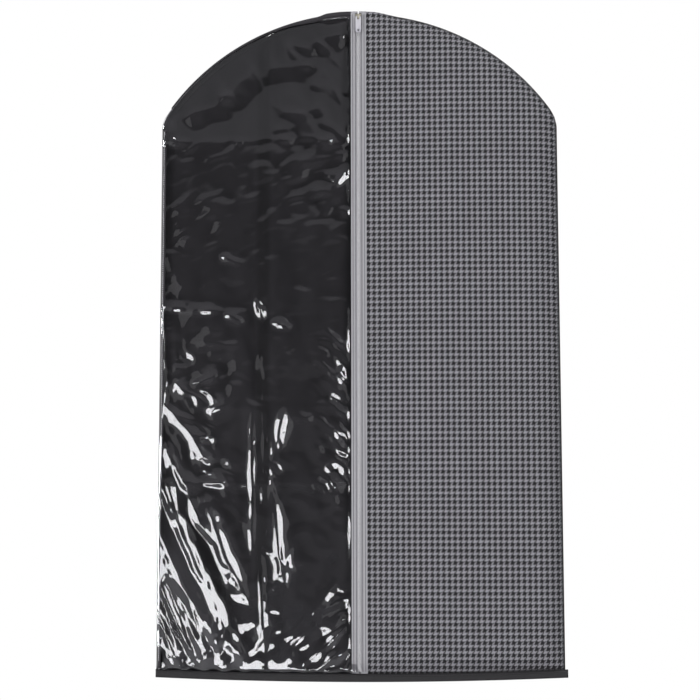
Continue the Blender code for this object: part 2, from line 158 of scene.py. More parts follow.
back_low, back_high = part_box("back_panel")
side_x = back_high.x
hem_z, crown_z = back_low.z, back_high.z
shoulder_drop = 0.166
shoulder_round = 0.012
arc_radius = (side_x**2 + shoulder_drop**2) / (2 * shoulder_drop)
arc_centre_z = crown_z - arc_radius
binding_top_z = hem_z + 0.011
back_inner_y = 0.0070
cloth_thickness = 0.0004
hem_sag = 0.0065
sag_from_z = -0.40
fold_x = 0.141
fold_heights = (-0.196, -0.457, -0.712)
back_columns, back_rows = 110, 180


def top_edge(x):
    """Height of the top edge: an arc that turns down round each shoulder."""
    across = np.minimum(np.abs(x), side_x)
    turn = np.maximum(across - (side_x - shoulder_round), 0)
    drop = shoulder_round - np.sqrt(np.maximum(shoulder_round**2 - turn**2, 0))
    return arc_centre_z + np.sqrt(arc_radius**2 - across**2) - drop


def hung(x, z):
    """Height with the hem hanging a little lower in the middle than at the sides."""
    down = np.clip((sag_from_z - z) / (sag_from_z - hem_z), 0, 1.1)
    return z - hem_sag * np.maximum(1 - (x / side_x) ** 2, 0) * down**2


def rolled(distance, width):
    """From 0 at a seam to 1 at full depth, as a quarter of a rounded edge."""
    return 1 - (1 - np.clip(distance / width, 0, 1)) ** 2


def waves(x, z, lengths, height, seed):
    """Soft waves in cloth: a few long sines that cross at odd angles."""
    draw = np.random.default_rng(seed)
    total = np.zeros_like(x)
    for length in lengths:
        angle, shift = draw.uniform(0, math.pi), draw.uniform(0, math.tau)
        total += np.sin(math.tau * (x * math.cos(angle) + z * math.sin(angle)) / length + shift)
    return height * total / len(lengths)


def ridge(distance, width, sharp=0.15):
    """A crease seen end on: highest at its line and falling away on both sides."""
    return np.exp(sharp - np.sqrt((distance / width) ** 2 + sharp**2))


def packing_folds(x, z, height, width):
    """The creases that packing leaves: one down the middle of each half, and three across."""
    total = ridge(np.abs(x) - fold_x, width)
    for fold_z in fold_heights:
        total += 0.8 * ridge(z - fold_z, width)
    return height * total


def cloth_grid(name, x, y, z):
    """A grid mesh through rows and columns of points, facing the way that -Y does."""
    rows, columns = x.shape
    points = np.stack([x, y, z], axis=-1).reshape(-1, 3)
    index = np.arange(rows * columns).reshape(rows, columns)
    corners = [index[:-1, :-1], index[:-1, 1:], index[1:, 1:], index[1:, :-1]]
    faces = np.stack(corners, axis=-1).reshape(-1, 4)
    mesh = bpy.data.meshes.new(name)
    mesh.from_pydata(points.tolist(), [], faces.tolist())
    mesh.shade_smooth()
    piece = bpy.data.objects.new(name, mesh)
    bpy.context.collection.objects.link(piece)
    return piece


def thickened(piece, thickness):
    """Gives a sheet its thickness, half to each side."""
    wall = piece.modifiers.new("thickness", "SOLIDIFY")
    wall.thickness = thickness
    wall.offset = 0
    return piece


def new_material(name, roughness, metallic=0.0, specular=0.5):
    """A material with an empty Principled shader, as (material, tree, shader)."""
    finish = bpy.data.materials.new(name)
    finish.use_nodes = True
    shader = finish.node_tree.nodes["Principled BSDF"]
    shader.inputs["Roughness"].default_value = roughness
    shader.inputs["Metallic"].default_value = metallic
    shader.inputs["Specular IOR Level"].default_value = specular
    return finish, finish.node_tree, shader


def add_node(tree, kind, **values):
    """A node of a tree, with its settings and the values of its unlinked inputs."""
    node = tree.nodes.new(kind)
    for key, value in values.items():
        if key in node.bl_rna.properties:
            setattr(node, key, value)
        else:
            node.inputs[key.replace("_", " ")].default_value = value
    return node


def maths(tree, operation, first, second=None):
    """A Math node on sockets or numbers, and its result."""
    node = tree.nodes.new("ShaderNodeMath")
    node.operation = operation
    for socket, value in zip(node.inputs, (first, second)):
        if isinstance(value, (int, float)):
            socket.default_value = value
        elif value is not None:
            tree.links.new(value, socket)
    return node.outputs[0]


def scaled(tree, value, gain, offset):
    """A value times a gain, plus an offset."""
    return maths(tree, "ADD", maths(tree, "MULTIPLY", value, gain), offset)


def object_axes(tree):
    """The X, Y and Z of a piece's own coordinates."""
    place = add_node(tree, "ShaderNodeTexCoord")
    apart = add_node(tree, "ShaderNodeSeparateXYZ")
    tree.links.new(place.outputs["Object"], apart.inputs[0])
    return apart.outputs


def noise(tree, **values):
    """Noise laid out on a piece's own coordinates."""
    place = add_node(tree, "ShaderNodeTexCoord")
    texture = add_node(tree, "ShaderNodeTexNoise", **values)
    tree.links.new(place.outputs["Object"], texture.inputs["Vector"])
    return texture.outputs[0]


def shader_group(name, inputs, outputs):
    """A node group of plain values, as (group, its inputs, its outputs)."""
    group = bpy.data.node_groups.new(name, "ShaderNodeTree")
    for socket, value in inputs.items():
        given = group.interface.new_socket(socket, in_out="INPUT", socket_type="NodeSocketFloat")
        given.default_value = value
    for socket in outputs:
        group.interface.new_socket(socket, in_out="OUTPUT", socket_type="NodeSocketFloat")
    return group, add_node(group, "NodeGroupInput").outputs, add_node(group, "NodeGroupOutput").inputs


def spun_bond_group():
    """Spun-bonded cloth, as a height and a shade: rows of small pressed dots with fibres between them."""
    tree, given, result = shader_group("spun_bond", {"Dot Pitch": 0.0012}, ("Height", "Shade"))
    axes = object_axes(tree)
    turns = maths(tree, "DIVIDE", math.tau, given["Dot Pitch"])
    along = maths(tree, "COSINE", maths(tree, "MULTIPLY", axes["X"], turns))
    down = maths(tree, "COSINE", maths(tree, "MULTIPLY", axes["Z"], turns))
    pressed_dots_and_fold_shade = maths(tree, "SMOOTH_MAX", maths(tree, "MULTIPLY", along, down), 0.3)
    fibres = maths(tree, "MULTIPLY", noise(tree, Scale=900.0, Detail=3.0, Roughness=0.6), 0.6)
    blotches = noise(tree, Scale=60.0, Detail=4.0, Roughness=0.6)
    tree.links.new(maths(tree, "ADD", fibres, maths(tree, "MULTIPLY", pressed_dots_and_fold_shade, -0.7)), result["Height"])
    tree.links.new(scaled(tree, blotches, 0.3, 0.85), result["Shade"])
    return tree


def bumped(tree, shader, height, distance, strength=1.0):
    """Feeds a height through a Bump node to a shader's normal."""
    bump = add_node(tree, "ShaderNodeBump", Strength=strength, Distance=distance)
    tree.links.new(height, bump.inputs["Height"])
    tree.links.new(bump.outputs[0], shader.inputs["Normal"])


def tinted(tree, colour, shade, socket):
    """A colour made darker or lighter by a shade, fed to a socket."""
    mix = add_node(tree, "ShaderNodeMix", data_type="RGBA", blend_type="MULTIPLY")
    mix.inputs["Factor"].default_value = 1.0
    if isinstance(colour, tuple):
        mix.inputs[6].default_value = colour
    else:
        tree.links.new(colour, mix.inputs[6])
    tree.links.new(shade, mix.inputs[7])
    tree.links.new(mix.outputs[2], socket)


spun_bond = spun_bond_group()
black_cloth, tree, shader = new_material("black_nonwoven", 0.82, specular=0.25)
bond = add_node(tree, "ShaderNodeGroup", node_tree=spun_bond)
# inside the bag, painted shade darkens the cloth along the upright folds, in place of the shadow that falls
# in each fold
past_fold = maths(tree, "SUBTRACT", maths(tree, "ABSOLUTE", object_axes(tree)["X"]), fold_x + 0.004)
pressed_dots_and_fold_shade = add_node(tree, "ShaderNodeMapRange", interpolation_type="SMOOTHSTEP",
                   From_Min=0.0040, From_Max=0.0140, To_Min=0.50)
tree.links.new(maths(tree, "ABSOLUTE", past_fold), pressed_dots_and_fold_shade.inputs["Value"])
facing = add_node(tree, "ShaderNodeSeparateXYZ")
tree.links.new(add_node(tree, "ShaderNodeNewGeometry").outputs["Normal"], facing.inputs[0])
outside = maths(tree, "GREATER_THAN", facing.outputs["Y"], 0.0)
shade = maths(tree, "MULTIPLY", bond.outputs["Shade"], maths(tree, "MAXIMUM", pressed_dots_and_fold_shade.outputs[0], outside))
tinted(tree, (0.0180, 0.0168, 0.0196, 1), shade, shader.inputs["Base Color"])
bumped(tree, shader, bond.outputs["Height"], 0.0002, 0.6)

u = np.linspace(-1, 1, back_columns + 1)
x = np.tile(side_x * np.sin(u * math.pi / 2), (back_rows + 1, 1))
v = np.linspace(0, 1, back_rows + 1)[:, None]
z = hem_z + v * (top_edge(x) - hem_z)
in_hem = np.clip(1 - (z - binding_top_z) / 0.002, 0, 1)
from_edge = np.minimum(side_x - np.abs(x), np.minimum(top_edge(x) - z, z - binding_top_z))
loose = rolled(from_edge, 0.05)
swell = packing_folds(x, z, 0.0030, 0.009) + 0.0014 + waves(x, z, (0.31, 0.17, 0.11, 0.23, 0.07), 0.0028, 3)
y = back_inner_y + 0.0004 - 0.0010 * in_hem + loose * swell
back_sheet = thickened(cloth_grid("back_sheet", x, y, hung(x, z)), cloth_thickness)
back_sheet.data.materials.append(black_cloth)
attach(back_sheet, "bag")
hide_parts("back_panel")

# Left half of the front. A single sheet of clear, glossy film, sewn into the side, top and hem seams and
# under the zip's tape. It is stiff and takes hard creases, which are built into its mesh.

film_columns, film_rows = 190, 510
front_depth = 0.0132
panel_bulge = 0.004
edge_roll, hem_roll = 0.030, 0.022
zip_edge_x, zip_flat_x = 0.0050, 0.0136
hook_half, hook_fade = 0.020, 0.045
seam_y = 0.0067
film_lean = math.tan(math.radians(3.2))
film_crisp = 0.93
full_swell, swell_room = 0.0222, 0.0085


def panel_depth(x, z, crisp=0.0):
    """How far the front stands forward of the seam, before its folds. A crisp edge turns early."""
    out = np.abs(x)
    beside = (out - hook_half) / hook_fade
    hook_open = np.where(beside > 0, 1 - rolled(beside, 1.0), 1.0)
    to_side = (side_x - out) / edge_roll
    to_top = (arc_radius - np.hypot(x, np.maximum(z - arc_centre_z, 0))) / edge_roll + hook_open
    to_hem = (z - binding_top_z) / hem_roll
    nearest = np.minimum(np.minimum(to_side, to_top), to_hem)
    across = np.clip((out - zip_flat_x) / (side_x - zip_flat_x), 0, 1)
    bulge = panel_bulge * np.sin(math.pi * across) * rolled(nearest, 4.0)
    turn = (1 - crisp) * rolled(nearest, 1.0 + crisp * 0.4) + crisp * rolled(nearest, 0.20)
    depth = front_depth * turn + bulge
    return np.maximum(depth, 0.001 * np.clip(1 - (z - binding_top_z) / 0.0037, 0, 1))


def panel_points(side, columns, rows):
    """Rows and columns over one half of the front, closer together at the side seam, as x and z."""
    share = np.linspace(0, 1, columns + 1)
    reach = zip_edge_x + (share + 0.04 * np.sin(math.pi * share)) * (side_x - zip_edge_x)
    reach = side * reach if side > 0 else side * reach[::-1]
    across = np.tile(reach, (rows + 1, 1))
    up = np.linspace(0, 1, rows + 1)[:, None]
    return across, hem_z + up * (top_edge(across) - hem_z)


def free_of_seams(x, z, margin):
    """0 at the seams and the zip, 1 from a margin inside them."""
    out = np.abs(x)
    from_top = arc_radius - np.hypot(x, np.maximum(z - arc_centre_z, 0))
    inside = np.minimum(np.minimum(side_x - out, out - zip_flat_x), np.minimum(from_top, z - binding_top_z))
    return rolled(inside, margin)


def crease(x, z, start, end, width, height, bend=0.0):
    """One hard crease from a start to an end: a bent ridge, or a groove, that runs out at both."""
    middle_x, middle_z = (start[0] + end[0]) / 2, (start[1] + end[1]) / 2
    reach = math.dist(start, end) / 2
    ahead, aside = (end[0] - start[0]) / (2 * reach), (end[1] - start[1]) / (2 * reach)
    along = (x - middle_x) * ahead + (z - middle_z) * aside
    across = (z - middle_z) * ahead - (x - middle_x) * aside - bend * (along**2 / reach - reach)
    total = np.zeros_like(x)
    near = np.abs(along) < 1.5 * reach
    run_out = np.exp(-((along[near] / (0.72 * reach)) ** 4))
    total[near] = height * run_out * ridge(across[near], width)
    return total


def creases(x, z, draw, count, span_x, span_z, angles, half_length, width, height):
    """Hard creases strewn over a region, three ridges to two grooves."""
    total = np.zeros_like(x)
    for _ in range(count):
        centre_x, centre_z = draw.uniform(*span_x), draw.uniform(*span_z)
        angle, reach = math.radians(draw.uniform(*angles)), draw.uniform(*half_length)
        out_x, out_z = reach * math.cos(angle), reach * math.sin(angle)
        rise = draw.uniform(*height) * (1 if draw.random() < 0.62 else -0.7)
        total += crease(x, z, (centre_x - out_x, centre_z - out_z), (centre_x + out_x, centre_z + out_z),
                        draw.uniform(*width), rise, draw.uniform(-0.2, 0.2))
    return total


def facets(x, z, seed, spacing, stretch, lean, slope):
    """Crumpled film: flat facets that meet in sharp ridges, drawn out along one direction."""
    draw = np.random.default_rng(seed)
    calm = spacing * math.sqrt(stretch)
    warp_x = x + waves(x, z, (1.9 * calm, 3.3 * calm, 5.6 * calm), 0.75 * spacing, seed + 100)
    warp_z = z + waves(x, z, (2.2 * calm, 3.0 * calm, 6.4 * calm), 0.75 * spacing, seed + 200)
    lean = math.radians(lean)
    along = (warp_x * math.cos(lean) + warp_z * math.sin(lean)) / (spacing * stretch)
    across = (warp_z * math.cos(lean) - warp_x * math.sin(lean)) / spacing
    along = along + across / 2
    column, row = np.floor(along).astype(int), np.floor(across).astype(int)
    right, up = along - column, across - row
    heights = draw.normal(size=(64, 64))

    def corner(i, j):
        return heights[(column + i) % 64, (row + j) % 64]

    middle = np.where(right > up, corner(1, 0), corner(0, 1))
    most, least = np.maximum(right, up), np.minimum(right, up)
    return slope * spacing * (corner(0, 0) * (1 - most) + middle * (most - least) + corner(1, 1) * least)


def fade(value, start, end):
    """0 before a start, 1 after an end, smooth between them."""
    t = np.clip((value - start) / (end - start), 0, 1)
    return t * t * (3 - 2 * t)


def flap(x, z, start, end, tall, height):
    """A buckled patch under a line: it tips forward up to the line, and falls back above it."""
    reach = math.dist(start, end) / 2
    ahead, aside = (end[0] - start[0]) / (2 * reach), (end[1] - start[1]) / (2 * reach)
    along = (x - (start[0] + end[0]) / 2) * ahead + (z - (start[1] + end[1]) / 2) * aside
    above = (z - (start[1] + end[1]) / 2) * ahead - (x - (start[0] + end[0]) / 2) * aside
    narrow = tall * np.clip(1.2 - (np.abs(along) / reach) ** 4, 0.1, 1)
    profile = np.where(above < 0, np.clip(1 + above / narrow, 0, 1), np.clip(1 - above / (1.5 * tall), 0, 1))
    return height * narrow / tall * profile * fade(reach + 0.012 - np.abs(along), 0, 0.036)


def spot(x, z, centre_x, centre_z, reach_x, reach_z):
    """A soft patch: 1 at its centre, 0 well away from it."""
    return np.exp(-(((x - centre_x) / reach_x) ** 2) - ((z - centre_z) / reach_z) ** 2)


x, z = panel_points(-1, film_columns, film_rows)
low = fade(-z, 0.58, 0.78)
left = fade(-x, 0.13, 0.24)
edge = fade(-x, 0.250, 0.285)
zip_side = fade(x, -0.085, -0.030)
at_hem = fade(-z, 0.86, 0.94)
from_crown = arc_radius - np.hypot(x, np.maximum(z - arc_centre_z, 0))
upper = fade(z, fold_heights[0] - 0.004, fold_heights[0] + 0.004) * fade(from_crown, 0.004, 0.034)
under = fade(fold_heights[0] - z, -0.004, 0.004)
relief = waves(x, z, (0.20, 0.13, 0.27, 0.09), 0.0010, 21)
crumpled = (
    # how much of it shows at each place, then the seed, facet width, stretch, direction and slope
    (low * left * (1 - 0.5 * at_hem), 41, 0.0125, 9.0, -62, 0.125),
    (low * (0.03 + 0.97 * left), 42, 0.0062, 8.0, -65, 0.075),
    (edge * fade(-z, 0.62, 0.72), 43, 0.0056, 6.0, -78, 0.16),
    (edge * fade(-z, 0.30, 0.50), 53, 0.0050, 1.8, -30, 0.035),
    (zip_side * (fade(-z, 0.46, 0.52) - 0.85 * fade(-z, 0.70, 0.76)), 44, 0.0060, 3.2, -38, 0.21),
    (zip_side * fade(-z, 0.82, 0.90), 45, 0.0064, 3.6, 40, 0.25),
    (at_hem * (0.18 + 0.82 * left), 46, 0.009, 4.5, -76, 0.16),
    (at_hem, 55, 0.007, 4.0, 52, 0.05),
    (fade(-z, 0.20, 0.50), 47, 0.034, 2.4, -72, 0.022),
    (fade(-z, 0.40, 0.62), 48, 0.016, 1.8, -40, 0.034),
    (upper, 49, 0.040, 1.6, -58, 0.017),
    (upper * fade(x, -0.15, -0.06), 50, 0.0105, 3.0, -42, 0.050),
    (under * fade(z, -0.40, -0.30) * (0.35 + 0.65 * fade(x, -0.16, -0.12)), 51, 0.0105, 2.2, 24, 0.070),
    (under * fade(z, -0.62, -0.50), 54, 0.0085, 2.6, 18, 0.036),
)
for share, seed, spacing, stretch, lean, slope in crumpled:
    relief += share * facets(x, z, seed, spacing, stretch, lean, slope)
dented = (
    # centre across and up, and reach across and up
    (-0.240, -0.582, 0.020, 0.022), (-0.215, -0.700, 0.026, 0.020),
    (-0.120, -0.690, 0.016, 0.016), (-0.262, -0.452, 0.024, 0.006), (-0.222, -0.453, 0.014, 0.005),
    (-0.185, -0.462, 0.012, 0.006), (-0.148, -0.452, 0.008, 0.012), (-0.112, -0.474, 0.014, 0.006),
    (-0.280, -0.196, 0.014, 0.003), (-0.180, -0.197, 0.006, 0.003), (-0.110, -0.195, 0.009, 0.003),
    (-0.050, -0.195, 0.008, 0.004), (-0.036, -0.250, 0.012, 0.012), (-0.020, -0.300, 0.007, 0.010),
    (-0.190, -0.378, 0.012, 0.006), (-0.230, -0.640, 0.018, 0.022), (-0.265, -0.530, 0.014, 0.016),
)
crushed = facets(x, z, 52, 0.0068, 2.6, -28, 0.24)
for place_x, place_z, reach_x, reach_z in dented:
    relief += spot(x, z, place_x, place_z, reach_x, reach_z) * crushed
draw = np.random.default_rng(5)
warp_x = x + waves(x, z, (0.05, 0.083, 0.031), 0.0030, 11)
warp_z = z + waves(x, z, (0.045, 0.09, 0.033), 0.0030, 12)
drawn = [
    # start, end, width, height and bend of each crease
    # the first and second folds, where the film is pinched
    ((-0.310, -0.193), (-0.258, -0.197), 0.0040, 0.0031, 0.0),
    ((-0.190, -0.196), (-0.172, -0.198), 0.0038, 0.0027, 0.0),
    ((-0.126, -0.194), (-0.096, -0.197), 0.0038, 0.0028, 0.0),
    ((-0.064, -0.193), (-0.038, -0.197), 0.0038, 0.0028, 0.0),
    ((-0.312, -0.444), (-0.200, -0.456), 0.0038, 0.0027, 0.04),
    ((-0.204, -0.458), (-0.168, -0.475), 0.0042, 0.0031, 0.05),
    ((-0.151, -0.432), (-0.141, -0.476), 0.0042, 0.0030, 0.05),
    ((-0.134, -0.472), (-0.098, -0.484), 0.0040, 0.0028, 0.05),
    ((-0.212, -0.370), (-0.172, -0.384), 0.0040, 0.0030, 0.05),
    ((-0.042, -0.270), (-0.014, -0.234), 0.0044, 0.0033, 0.10),
    ((-0.020, -0.300), (-0.008, -0.318), 0.0036, 0.0024, 0.10),
    ((-0.250, -0.498), (-0.170, -0.506), 0.0050, 0.0014, 0.10),
    # the lower part
    ((-0.256, -0.566), (-0.206, -0.549), 0.0062, 0.0030, 0.10),
    ((-0.232, -0.612), (-0.192, -0.596), 0.0050, 0.0024, -0.15),
    ((-0.290, -0.600), (-0.236, -0.622), 0.0058, 0.0028, 0.08),
    ((-0.262, -0.668), (-0.200, -0.676), 0.0050, 0.0023, 0.12),
    ((-0.248, -0.716), (-0.190, -0.712), 0.0055, 0.0026, -0.10),
    ((-0.278, -0.560), (-0.240, -0.590), 0.0060, 0.0024, 0.05),
    ((-0.296, -0.588), (-0.238, -0.652), 0.0078, 0.0042, 0.05),
    ((-0.262, -0.628), (-0.214, -0.700), 0.0082, 0.0044, -0.05),
    ((-0.292, -0.650), (-0.240, -0.742), 0.0088, 0.0047, 0.04),
    ((-0.111, -0.596), (-0.119, -0.672), 0.0095, 0.0056, 0.05),
    ((-0.236, -0.705), (-0.153, -0.905), 0.0120, 0.0072, 0.05),
    ((-0.330, -0.715), (-0.180, -0.970), 0.0170, 0.0105, 0.05),
    # upright creases beside the middle fold
    ((-0.158, -0.555), (-0.155, -0.890), 0.0062, 0.0033, 0.01),
    ((-0.134, -0.690), (-0.116, -0.905), 0.0064, 0.0033, -0.06),
    ((-0.131, -0.600), (-0.135, -0.760), 0.0045, 0.0021, 0.02),
    ((-0.147, -0.740), (-0.139, -0.965), 0.0044, 0.0020, 0.02),
    # a star of creases below it
    ((-0.150, -0.795), (-0.085, -0.845), 0.0044, 0.0021, 0.03),
    ((-0.124, -0.780), (-0.104, -0.880), 0.0044, 0.0022, 0.05),
    ((-0.140, -0.880), (-0.095, -0.800), 0.0042, 0.0019, 0.03),
    # outlines near the lower end of the zip
    ((-0.095, -0.975), (-0.040, -0.935), 0.0034, 0.0015, 0.10),
    ((-0.060, -0.960), (-0.012, -0.915), 0.0034, 0.0015, -0.10),
    ((-0.075, -0.905), (-0.045, -0.865), 0.0040, 0.0018, 0.10),
]
# the diagonals that the weight of the lower corner pulls into the film, fanned out from the side seam
for share in np.linspace(0, 1, 11):
    start = (-0.334 + draw.uniform(0, 0.012), -0.610 - 0.235 * share + draw.uniform(-0.008, 0.008))
    end = (-0.180 - 0.070 * share + draw.uniform(-0.012, 0.012),
           -0.945 - 0.075 * share + draw.uniform(-0.012, 0.006))
    width = draw.uniform(0.0065, 0.0125) * (1 - 0.35 * share)
    drawn.append((start, end, width, 0.54 * width, draw.uniform(0.02, 0.07)))
for start, end, width, height, bend in drawn:
    relief += crease(warp_x * 0.6 + x * 0.4, warp_z * 0.6 + z * 0.4, start, end, width, height, bend)
buckled = (
    # the ends of each patch's top line, how tall it is, and how far it stands out
    ((-0.124, -0.052), (-0.012, -0.026), 0.026, 0.0034),
    ((-0.152, -0.082), (-0.064, -0.080), 0.026, 0.0031),
    ((-0.270, -0.160), (-0.186, -0.128), 0.026, 0.0029),
    ((-0.214, -0.138), (-0.146, -0.070), 0.034, 0.0038),
    ((-0.076, -0.096), (-0.010, -0.128), 0.018, 0.0021),
    ((-0.120, -0.156), (-0.040, -0.142), 0.016, 0.0019),
    ((-0.140, -0.182), (-0.095, -0.176), 0.010, 0.0011),
)
for start, end, tall, height in buckled:
    relief += upper * flap(warp_x, warp_z, start, end, tall, height)
strewn = (
    # how many, then the spans across and up, and those of angle, half length, width and height
    # more diagonals between the long ones
    (10, (-0.292, -0.215), (-0.95, -0.74), (-70, -56), (0.020, 0.050), (0.0040, 0.0065), (0.0014, 0.0026)),
    # fine upright lines in the middle fold
    (7, (-0.152, -0.132), (-0.62, -0.14), (-92, -88), (0.040, 0.110), (0.0022, 0.0032), (0.0004, 0.0007)),
    # stray creases over the rest
    (18, (-0.280, -0.030), (-0.62, -0.22), (-75, 20), (0.010, 0.026), (0.0022, 0.0036), (0.0003, 0.0008)),
    (12, (-0.220, -0.020), (-0.17, -0.03), (-75, -25), (0.014, 0.040), (0.0022, 0.0040), (0.0002, 0.0006)),
)
for region in strewn:
    relief += creases(warp_x, warp_z, draw, *region)
low_down = 0.12 + 0.18 * fade(-z, 0.17, 0.20) + 0.45 * fade(-z, 0.56, 0.64)
relief += packing_folds(warp_x * 0.3 + x * 0.7, warp_z * 0.3 + z * 0.7, 0.0020, 0.0065) * low_down
relief -= film_lean * np.maximum(z - fold_heights[0], 0)
for smoothing in range(2):
    relief[1:-1] = (relief[:-2] + 2 * relief[1:-1] + relief[2:]) / 4
    relief[:, 1:-1] = (relief[:, :-2] + 2 * relief[:, 1:-1] + relief[:, 2:]) / 4
relief *= free_of_seams(x, z, 0.006)
hem_pucker = at_hem * waves(x, 0.2 * z, (0.011, 0.019, 0.0075, 0.031), 0.0034, 61)
depth = np.maximum(panel_depth(x, z + hem_pucker, film_crisp) + relief, 0.0003)
beyond = np.maximum(depth - full_swell, 0)
depth = np.minimum(depth, full_swell) + swell_room * np.tanh(beyond / swell_room)
film = cloth_grid("film", x, seam_y - depth, hung(x, z))

clear_film, tree, shader = new_material("clear_film", 0.045, metallic=1.0)
shader.inputs["Base Color"].default_value = (0.97, 0.97, 1.0, 1)
smears = noise(tree, Scale=18.0, Detail=5.0, Roughness=0.65)
tree.links.new(scaled(tree, smears, 0.05, 0.02), shader.inputs["Roughness"])
see_through = add_node(tree, "ShaderNodeBsdfTransparent", Color=(0.93, 0.93, 0.94, 1))
gloss = add_node(tree, "ShaderNodeFresnel", IOR=1.52)
coat = tree.nodes.new("ShaderNodeMixShader")
tree.links.new(maths(tree, "MULTIPLY", gloss.outputs[0], 2.0), coat.inputs["Fac"])
tree.links.new(see_through.outputs[0], coat.inputs[1])
tree.links.new(shader.outputs[0], coat.inputs[2])
tree.links.new(coat.outputs[0], tree.nodes["Material Output"].inputs["Surface"])
film.data.materials.append(clear_film)
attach(film, "bag")
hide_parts("front_left_film")

# Edges of the film. Two strips of black cloth are sewn over it, one along the top seam and one down the side
# seam, and show as a narrow dark rim.

strip_sheet = 0.0003
strip_from_x, strip_top_z = -0.286, -0.178
across = np.linspace(strip_from_x, -zip_edge_x, 180)
tall = 0.0030 + 0.0032 * fade(across, -0.12, -0.07)
# how far behind the rim, how far above it, and whether it reaches down, over the top edge from back to front
turned_over = np.array([(0.0007, 0.0, 1), (0.0007, 0.0004, 0), (0.0, 0.0009, 0),
                        (-0.0007, 0.0004, 0), (-0.0007, 0.0, 1)])
aside, lift, drop = turned_over.T[:, :, None]
x = np.tile(across, (len(turned_over), 1))
y = aside + seam_y - panel_depth(across, top_edge(across) - 0.001, film_crisp)
z = top_edge(across) + lift - drop * tall
neck_edge = thickened(cloth_grid("neck_edge", x, y, np.minimum(z, crown_z)), strip_sheet)
inward = np.array([0.0, 0.0004, 0.0009, 0.0016, 0.0024, 0.0034, 0.0048, 0.0064, 0.0082])
proud = np.array([0.0, 0.0003, 0.0006, 0.0007, 0.0007, 0.0007, 0.0007, 0.0007, 0.0003])
x = np.tile(-side_x + inward, (300, 1))
z = np.linspace(binding_top_z, strip_top_z, 300)[:, None] + 0 * x
y = seam_y - panel_depth(x, z, film_crisp) - proud
side_edge = thickened(cloth_grid("side_edge", x, y, hung(x, z)), strip_sheet)
for strip in (neck_edge, side_edge):
    strip.data.materials.append(black_cloth)
    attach(strip, "bag")

# Right half of the front. Spun-bonded cloth printed with a small houndstooth check in light grey on black. It
# hangs nearly flat, with the same packing folds, and its edge is turned in at the seam.

check_columns, check_rows = 84, 300
light_threads = 3.4
x, z = panel_points(1, check_columns, check_rows)
relief = packing_folds(x, z, 0.0011, 0.010) + waves(x, z, (0.33, 0.21, 0.12, 0.17), 0.0011, 31)
draw = np.random.default_rng(9)
relief += creases(x, z, draw, 14, (0.03, 0.28), (-0.95, -0.1), (-90, 90), (0.03, 0.07), (0.010, 0.02),
                  (0.0003, 0.0009))
relief *= free_of_seams(x, z, 0.02)
y = seam_y - panel_depth(x, z) - relief
checked = thickened(cloth_grid("checked_sheet", x, y, hung(x, z)), cloth_thickness)


def check_group():
    """A printed houndstooth: eight threads to a repeat each way, light and dark, in a two-and-two twill."""
    repeats = {"Repeat Across": 0.0084, "Repeat Down": 0.0089}
    tree, given, result = shader_group("houndstooth", repeats, ("Light",))
    axes = object_axes(tree)
    ragged = maths(tree, "SUBTRACT", noise(tree, Scale=700.0, Detail=2.0), 0.5)
    shake = maths(tree, "MULTIPLY", ragged, 0.35)

    def threads(axis, repeat):
        eighths = maths(tree, "DIVIDE", 8.0, given[repeat])
        return maths(tree, "ADD", maths(tree, "MULTIPLY", axes[axis], eighths), shake)

    across, down = threads("X", "Repeat Across"), threads("Z", "Repeat Down")
    warp = maths(tree, "LESS_THAN", maths(tree, "FLOORED_MODULO", across, 8.0), light_threads)
    weft = maths(tree, "LESS_THAN", maths(tree, "FLOORED_MODULO", down, 8.0), light_threads)
    step = maths(tree, "SUBTRACT", maths(tree, "FLOOR", across), maths(tree, "FLOOR", down))
    over = maths(tree, "LESS_THAN", maths(tree, "FLOORED_MODULO", step, 4.0), 2.0)
    from_warp = maths(tree, "MULTIPLY", warp, over)
    from_weft = maths(tree, "MULTIPLY", weft, maths(tree, "SUBTRACT", 1.0, over))
    tree.links.new(maths(tree, "ADD", from_warp, from_weft), result["Light"])
    return tree


printed_cloth, tree, shader = new_material("houndstooth_nonwoven", 0.85, specular=0.2)
check = add_node(tree, "ShaderNodeGroup", node_tree=check_group())
bond = add_node(tree, "ShaderNodeGroup", node_tree=spun_bond)
inks = add_node(tree, "ShaderNodeMix", data_type="RGBA")
inks.inputs[6].default_value = (0.0088, 0.0083, 0.0098, 1)
inks.inputs[7].default_value = (0.168, 0.165, 0.180, 1)
tree.links.new(check.outputs["Light"], inks.inputs[0])
# painted shade: the cloth is darkened where it turns back into the seams, as if shaded there
seam_shade = add_node(tree, "ShaderNodeMapRange", interpolation_type="SMOOTHSTEP",
                   From_Min=0.0015, From_Max=0.0060, To_Min=1.0, To_Max=0.15)
tree.links.new(object_axes(tree)["Y"], seam_shade.inputs["Value"])
shade = maths(tree, "MULTIPLY", bond.outputs["Shade"], seam_shade.outputs[0])
tinted(tree, inks.outputs[2], shade, shader.inputs["Base Color"])
bumped(tree, shader, bond.outputs["Height"], 0.0002, 0.6)
checked.data.materials.append(printed_cloth)
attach(checked, "bag")
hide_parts("front_right_panel")

# Zip tapes. Woven polyester ribbon, ribbed along its length, one on each side of the coils. The panels are
# sewn under their outer edges, and they follow the front down into the hem.

tape_near, tape_far = 0.0009, 0.0116
tape_thickness = 0.0005
tape_ribs = 5
tape_behind = 0.0009


def zip_path(z):
    """The inner face of the panels' edges behind the zip, at a height."""
    depth = front_depth * rolled(z - binding_top_z, hem_roll)
    return seam_y - np.maximum(depth, 0.001 * np.clip(1 - (z - binding_top_z) / 0.0037, 0, 1))


